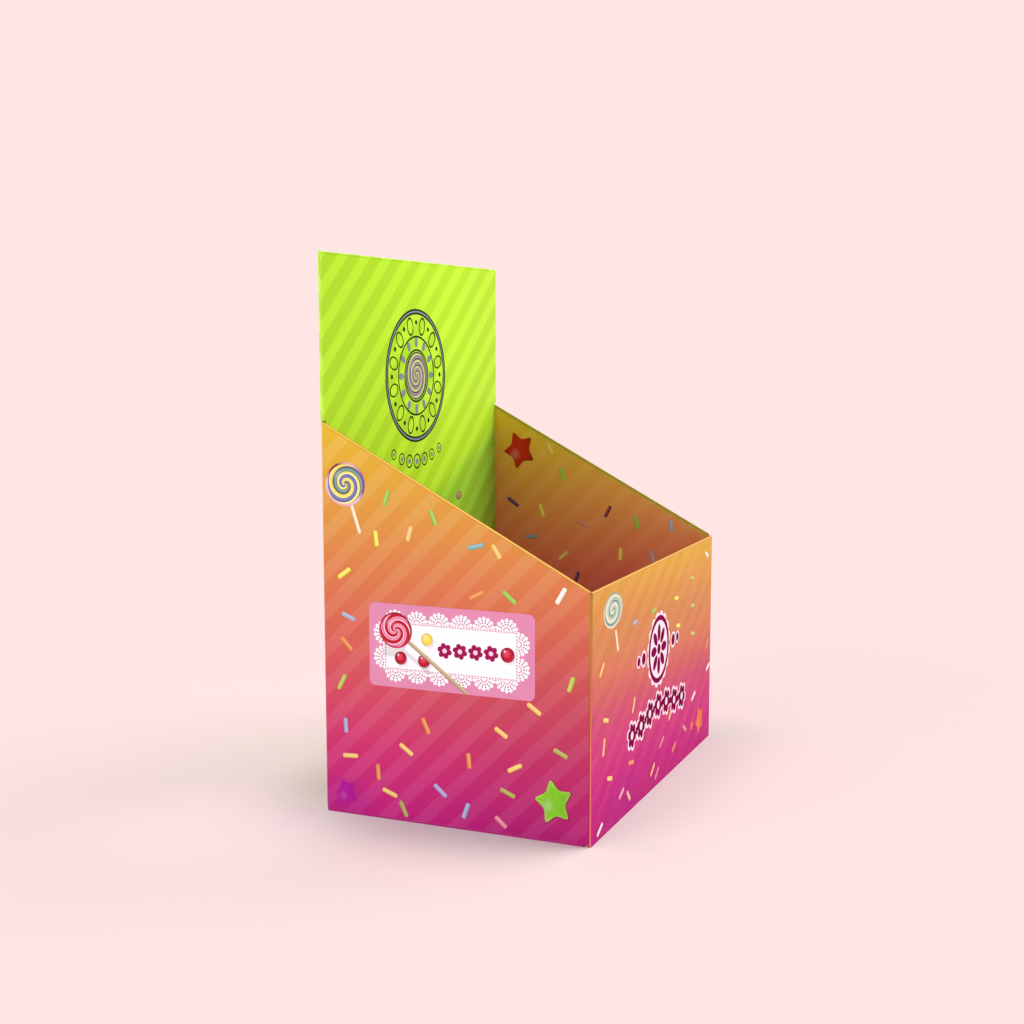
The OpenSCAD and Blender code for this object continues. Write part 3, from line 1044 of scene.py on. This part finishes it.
laceScallop = petalPiece("lace_scallop", label["petals"], 0.16)
roundSweet = discPiece("round_sweet", 40)
lace = lacePaint("Label_lace")
(lowU, lowV), (highU, highV) = label["low"], label["high"]
matWidth, matHeight = highU - lowU, highV - lowV
wide, high = label["scallops"]
lifts = label["lifts"]
scallops = []
for place in range(wide):
    for level in (lowV, highV):
        scallops.append((lowU + matWidth / wide * (place + 0.5), level))
for place in range(high):
    for side in (lowU, highU):
        scallops.append((side, lowV + matHeight / high * (place + 0.5)))
gather("label_lace_border", "label", [
    (laceScallop, at, label["scallop"], lace, 0, lifts["border"]) for at in scallops])

matBar = barPiece("mat_bar", matWidth, matHeight, 0.8)
middle = ((lowU + highU) / 2, (lowV + highV) / 2)
gather("label_lace_mat", "label", [(matBar, middle, 1.0, matPaint("Label_mat"), 0, lifts["mat"])])

sweetPaints = {
    "red": roundSweetPaint("Red_sweet", (204, 20, 52), (146, 10, 38), (236, 110, 132)),
    "lemon": roundSweetPaint("Lemon_sweet", (246, 226, 92), (224, 200, 72), (255, 247, 180)),
}
gather("label_sweets", "label", [
    (roundSweet, (u, v), size, sweetPaints[tone], 0, lifts["sweets"])
    for u, v, size, tone in label["sweets"]])
lollipopOn("label", "label_lollipop", labelLollipop["centre"], (labelLollipop["radius"],) * 2,
           labelLollipop["stickEnd"], "cherry", labelLollipop["stickWidth"], woodStick, lifts["lollipop"])
print("label: lace mat,", len(scallops), "scallops,", len(label["sweets"]), "sweets and a lollipop")


# Small flowers in the label's middle
dot = discPiece("petal_drop", 24)
flowerPlate = petalPiece("flower_plate", 6, 0.3, 10)
flowerInk = inkPaint("Label_flower_ink", (160, 28, 88))
flowerHeart = inkPaint("Label_flower_heart", (252, 214, 232))
flowers = []
for place in range(labelFlowers["count"]):
    at = (labelFlowers["first"][0] + labelFlowers["pitch"][0] * place,
          labelFlowers["first"][1] + labelFlowers["pitch"][1] * place)
    flowers.append((flowerPlate, at, labelFlowers["size"], flowerInk, 15, lifts["flowers"]))
    flowers.append((dot, at, labelFlowers["size"] * labelFlowers["heart"], flowerHeart, 0, lifts["hearts"]))
gather("label_flowers", "label", flowers)


# Round badge on the front: a scalloped plate with a ring and a daisy, and two dots on each side
badge = {
    "centre": (0.0, 83.0),
    "radius": 23.0,
    "petals": 16,
    "magenta": (132, 18, 74),
    "pale": (254, 236, 246),
    "ring": 0.88,              # this and the next three are shares of the radius
    "daisy": 0.43,
    "petal": (0.225, 0.125),
    "heart": 0.14,
    "dots": [(6.4, 5.0), (15.6, 3.8)],     # out from the plate, and size
    "dotInk": 0.7,
}
badgeWhite = inkPaint("Badge_pale_ink", badge["pale"])
badgeInk = inkPaint("Badge_magenta_ink", badge["magenta"])
badgePlate = petalPiece("badge_plate", badge["petals"], 0.1)
badgeRing = ringPiece("badge_ring", 0.15, 72)
middle, size = badge["centre"], badge["radius"]
badgeParts = [(badgePlate, middle, size, badgeWhite),
              (badgeRing, middle, size * badge["ring"], badgeInk, 0, ink)]
petalSize = (size * badge["petal"][0], size * badge["petal"][1])
for turn in range(0, 360, 45):
    at = around(middle, size * badge["daisy"], turn)
    badgeParts.append((dot, at, petalSize, badgeInk, turn, ink))
badgeParts.append((dot, middle, size * badge["heart"], badgeInk, 0, ink))
for side in (-1, 1):
    for away, spot in badge["dots"]:
        at = (middle[0] + side * (size + away), middle[1])
        badgeParts.append((dot, at, spot, badgeWhite))
        badgeParts.append((dot, at, spot * badge["dotInk"], badgeInk, 0, ink))
gather("front_wall_badge", "front", badgeParts)

# Garland below the badge: seven flowers in an arc, with a bead between each two
garland = {
    "height": 46.0,
    "pitch": 16.6,
    "rise": 3.0,
    "beadRise": 2.6,
    "flower": 9.4,
    "inked": 7.4,
    "heart": 2.4,
    "bead": 2.2,
}


def garlandAt(place, rise):
    return (place * garland["pitch"], garland["height"] + rise * math.cos(place * math.pi / 3))


garlandParts = []
for place in range(-3, 4):
    at = garlandAt(place, garland["rise"])
    garlandParts.append((flowerPlate, at, garland["flower"], badgeWhite, 15))
    garlandParts.append((flowerPlate, at, garland["inked"], badgeInk, 15, ink))
    garlandParts.append((dot, at, garland["heart"], badgeWhite, 0, ink * 2))
    if place < 3:
        between = garlandAt(place + 0.5, garland["beadRise"])
        garlandParts.append((dot, between, garland["bead"], badgeInk))
gather("front_wall_garland", "front", garlandParts)
print("front badge: plate, ring, daisy and garland")


# Line ornament on the header: fine rings round a swirl, with petals, loops and dots, and beads below
ornament = {
    "centre": (-4.6, 243.0),
    "radius": 41.0,
    "line": (36, 54, 30),
    "fill": (142, 154, 164),
    "pen": 1.1,                # width of the fine rings' line
    "wideRing": 0.055,         # width of the steel ring, as a share of its radius
    "loopRing": 0.21,          # and of each small loop
    "rings": (1.0, 0.945, 0.6, 0.4),       # from here to the swirl, shares of the ornament's radius
    "petalAt": 0.5,
    "petal": (0.075, 0.05),
    "loopAt": 0.76,
    "loop": (0.14, 0.1),
    "dotAt": 0.8,
    "dot": 0.035,
    "swirl": 0.36,
    "beadPitch": 10.4,
    "beadDrop": 12.0,
    "beadRise": 0.7,
    "bead": 4.8,
    "beadShrink": 0.5,
}
slate = inkPaint("Ornament_slate_ink", ornament["line"])
steel = inkPaint("Ornament_steel_ink", ornament["fill"])
wideRing = ringPiece("wide_ring", ornament["wideRing"], 96)
loopRing = ringPiece("loop_ring", ornament["loopRing"], 36)
middle, size = ornament["centre"], ornament["radius"]
lines = [(wideRing, middle, size, steel)]
for share in ornament["rings"]:
    penRing = ringPiece("pen_ring", ornament["pen"] / (size * share), 96)
    lines.append((penRing, middle, size * share, slate, 0, ink * 0.6))
petalSize = (size * ornament["petal"][0], size * ornament["petal"][1])
loopSize = (size * ornament["loop"][0], size * ornament["loop"][1])
for turn in range(0, 360, 30):
    lines.append((dot, around(middle, size * ornament["petalAt"], turn), petalSize, steel, turn))
    at = around(middle, size * ornament["loopAt"], turn + 15)
    lines.append((loopRing, at, loopSize, slate, turn + 15))
    at = around(middle, size * ornament["dotAt"], turn)
    lines.append((dot, at, size * ornament["dot"], slate))
lines.append((sweetDisc, middle, size * ornament["swirl"], swirlPaints["moss"]))
for place in range(-3, 4):
    low = middle[1] - size - ornament["beadDrop"] + ornament["beadRise"] * place * place
    at = (middle[0] + place * ornament["beadPitch"], low)
    spread = ornament["bead"] - ornament["beadShrink"] * abs(place)
    lines.append((loopRing, at, spread, slate))
    lines.append((dot, at, spread * 0.4, steel))
gather("header_ornament", "header", lines)
gather("header_sprinkle", "header", [(dot, (56.7, 162.5), (4.6, 2.9), sprinklePaints["rust"])])
print("header ornament:", len(lines), "lines")

for template in templates:
    bpy.data.objects.remove(template)


# Crease between the left and front walls: the walls' print under a painted highlight along the fold, from end
# to end
crease = {
    "leg": 1.2,
    "proud": 0.03,
    "thick": 0.05,
    "low": 0.15,
    "belowRim": 1.15,
    # colours of the painted highlight, up the fold from the floor; the dark stops are those beside it
    "stops": [(0.0, (244, 134, 136)), (0.2, (238, 134, 116)), (0.45, (228, 137, 90)), (0.7, (206, 137, 68)),
              (1.0, (184, 144, 52))],
    "dark": [(0.0, (164, 30, 86)), (0.3, (172, 52, 78)), (0.55, (182, 86, 68)), (0.8, (180, 122, 54)),
             (1.0, (184, 138, 54))],
    "crack": (0.7, 0.58, 0.74, 0.2),
}


def creasePaint(name):
    # a painted highlight in the middle of the fold, and a darker line on the left wall's side
    paint = Paint(name)
    height = paint.z / frontTop
    across = (paint.x - leftFace) / crease["leg"]
    # painted highlight: across the middle of the facet, and over its whole width near the top
    lit = paint.smooth(across, 0.3, 0.45) * paint.smooth(across, 0.95, 0.8)
    lit = lit.most(paint.smooth(height, 0.6, 0.9))
    colour = paint.mix(lit, paint.ramp(height, crease["dark"]), paint.ramp(height, crease["stops"]))
    return boardFinish(paint, cracked(paint, colour, crease["crack"]))


startPiece()
lowEnd, highEnd = crease["low"] * mm, (frontTop - crease["belowRim"]) * mm
bpy.ops.mesh.primitive_plane_add(size=1, location=(0, 0, 0))
creaseSkin = newPiece("front_left_crease")
bpy.ops.object.mode_set(mode="EDIT")
bpy.ops.mesh.select_all(action="SELECT")
facet = crease["leg"] * math.sqrt(2)
bpy.ops.transform.resize(value=(facet * mm, highEnd - lowEnd, 1), center_override=(0, 0, 0))
bpy.ops.mesh.subdivide(number_cuts=5)
bpy.ops.object.mode_set(mode="OBJECT")
up = Vector((0, 0, 1))
outward = Vector((-1, -1, 0)).normalized()
across = Vector((1, -1, 0)).normalized()
facetMiddle = Vector((leftFace + crease["leg"] / 2, frontFace + crease["leg"] / 2, 0)) * mm
facetMiddle += outward * crease["proud"] * mm
facetMiddle.z = (lowEnd + highEnd) / 2
axes = Matrix((across, up, across.cross(up))).transposed().to_4x4()
creaseSkin.data.transform(Matrix.Translation(facetMiddle) @ axes)
solid = creaseSkin.modifiers.new("board", "SOLIDIFY")
solid.thickness = crease["thick"] * mm
solid.offset = -1
bpy.ops.object.modifier_apply(modifier="board")
creaseSkin.data.materials.append(creasePaint("Crease_print"))
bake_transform(creaseSkin)
print("crease: front left")


# Floor, light and camera
studio = {
    "backdrop": (255, 230, 229),
    "floorSize": 12.0,
    "footShare": 0.2,          # how much of the floor at the box's foot shows the backdrop's own colour
    "nearShare": 0.65,         # and a hand's breadth away from it
    "nearReach": (5, 75),
    "farReach": (150, 700),
    "floorLit": 1.1,           # level of the open floor under the lamps alone
    "worldLight": 0.5,
    "worldColour": (0.96, 0.97, 1.09, 1.0),
    "keyPower": 2.2,
    "keyFrom": (0.473, -0.473, 0.743),
    "keyColour": (1.0, 0.985, 0.93),
    "keyAngle": 50,
    "fillPower": 1.58,
    "fillFrom": (-0.8, 0.45, 0.2),
    "fillColour": (1.0, 1.0, 1.0),
    "fillAngle": 50,
    "castReach": 70,           # light bounced off the walls colours the floor; these tints take most of that out again, and the front and back ones paint a faint shade near the walls
    "leftCast": (0.88, 1.15, 1.08),
    "frontCast": (0.84, 0.98, 0.95),
    "backReach": 140,
    "backCast": (0.92, 0.85, 1.03),
    "openSpot": (-175, 124),   # painted light: the floor glows more round here, so the shadow breaks off beside the back left corner
    "openReach": (20, 112),
    "openShare": 0.8,
}


def sunLamp(name, kind):
    lamp = bpy.data.lights.new(name, "SUN")
    lamp.energy = studio[kind + "Power"]
    lamp.color = studio[kind + "Colour"]
    lamp.angle = math.radians(studio[kind + "Angle"])
    holder = bpy.data.objects.new(name, lamp)
    holder.rotation_mode = "QUATERNION"
    holder.rotation_quaternion = Vector(studio[kind + "From"]).to_track_quat("Z", "Y")
    bpy.context.scene.collection.objects.link(holder)


def floorShare(paint, distance):
    # how much of the backdrop's own colour the camera sees, least at the box's foot
    low, high = studio["nearReach"]
    rise = studio["nearShare"] - studio["footShare"]
    share = paint.smooth(distance, low, high) * rise + studio["footShare"]
    low, high = studio["farReach"]
    share = share + paint.smooth(distance, low, high) * (1 - studio["nearShare"])
    # painted light: more of the backdrop's glow round the open spot, which lifts the shadow there
    openX, openY = studio["openSpot"]
    low, high = studio["openReach"]
    fromSpot = paint.length(paint.x - openX, paint.y - openY)
    return share + (1 - share) * (paint.smooth(fromSpot, high, low) * studio["openShare"])


def floorGround(paint, distance):
    # the lit floor's colour, tinted close to the left, front and back walls against the light they throw on
    # it, with painted shade in front of and behind the box
    close = paint.smooth(distance, studio["castReach"], 0)
    besideLeft = paint.smooth(paint.x, leftFace + 10, leftFace - 5)
    behind = paint.smooth(paint.y, backFace - 5, backFace + 10)
    before = 1 - behind
    leftReach = paint.smooth(paint.y, frontFace - 30, frontFace + 60) * close * besideLeft * before
    ground = paint.tint(leftReach, studio["backdrop"], studio["leftCast"])
    ground = paint.tint(close * (1 - besideLeft) * before, ground, studio["frontCast"])
    shortOfRight = paint.smooth(paint.x, rightFace + 5, rightFace - 60)
    closeBehind = paint.smooth(distance, studio["backReach"], 0) * behind
    return paint.tint(closeBehind * shortOfRight, ground, studio["backCast"])


def floorMaterial(backdrop):
    paint = Paint("Studio_floor")
    seen = paint.node("ShaderNodeLightPath")       # 1 for what the camera sees
    beyondX = (abs(paint.x) - rightFace).most(0.0)
    beyondY = (abs(paint.y) + frontFace).most(0.0)
    distance = paint.length(beyondX, beyondY)
    share = floorShare(paint, distance)
    level = (1 - (1 - share) * studio["floorLit"]) / share
    matte = paint.node("ShaderNodeBsdfDiffuse", None, {"Color": floorGround(paint, distance)})
    glow = paint.node("ShaderNodeEmission", None, {"Color": backdrop, "Strength": level})
    mixed = paint.node("ShaderNodeMixShader", None, {0: seen * share, 1: matte, 2: glow})
    paint.node("ShaderNodeOutputMaterial", None, {"Surface": mixed})
    return paint.material


sunLamp("key_light", "key")
sunLamp("fill_light", "fill")

startPiece()
bpy.ops.mesh.primitive_plane_add(size=studio["floorSize"], location=(0, 0, 0))
floor = newPiece("studio_floor")
backdrop = linear(studio["backdrop"])
floor.data.materials.append(floorMaterial(backdrop))

world = bpy.data.worlds.new("Studio")
bpy.context.scene.world = world
world.use_nodes = True
sky = Nodes(world.node_tree)
seen = sky.node("ShaderNodeLightPath")
light = {"Color": studio["worldColour"], "Strength": studio["worldLight"]}
plain = sky.node("ShaderNodeBackground", None, light)
shown = sky.node("ShaderNodeBackground", None, {"Color": backdrop})
either = sky.node("ShaderNodeMixShader", None, {0: seen, 1: plain, 2: shown})
sky.node("ShaderNodeOutputWorld", None, {0: either})

view = {
    "place": (-0.8091, -0.3262, 0.2662),
    "target": (-0.0405, -0.0025, 0.1657),
    "lens": 50.77,
}
lens = bpy.data.cameras.new("camera")
lens.lens = view["lens"]
lens.sensor_width = 36.0
camera = bpy.data.objects.new("camera", lens)
camera.location = view["place"]
camera.rotation_mode = "QUATERNION"
camera.rotation_quaternion = (Vector(view["target"]) - Vector(view["place"])).to_track_quat("-Z", "Y")
bpy.context.scene.collection.objects.link(camera)
bpy.context.scene.camera = camera
bpy.context.scene.view_settings.view_transform = "Standard"
print("studio: floor, two lamps and the camera")
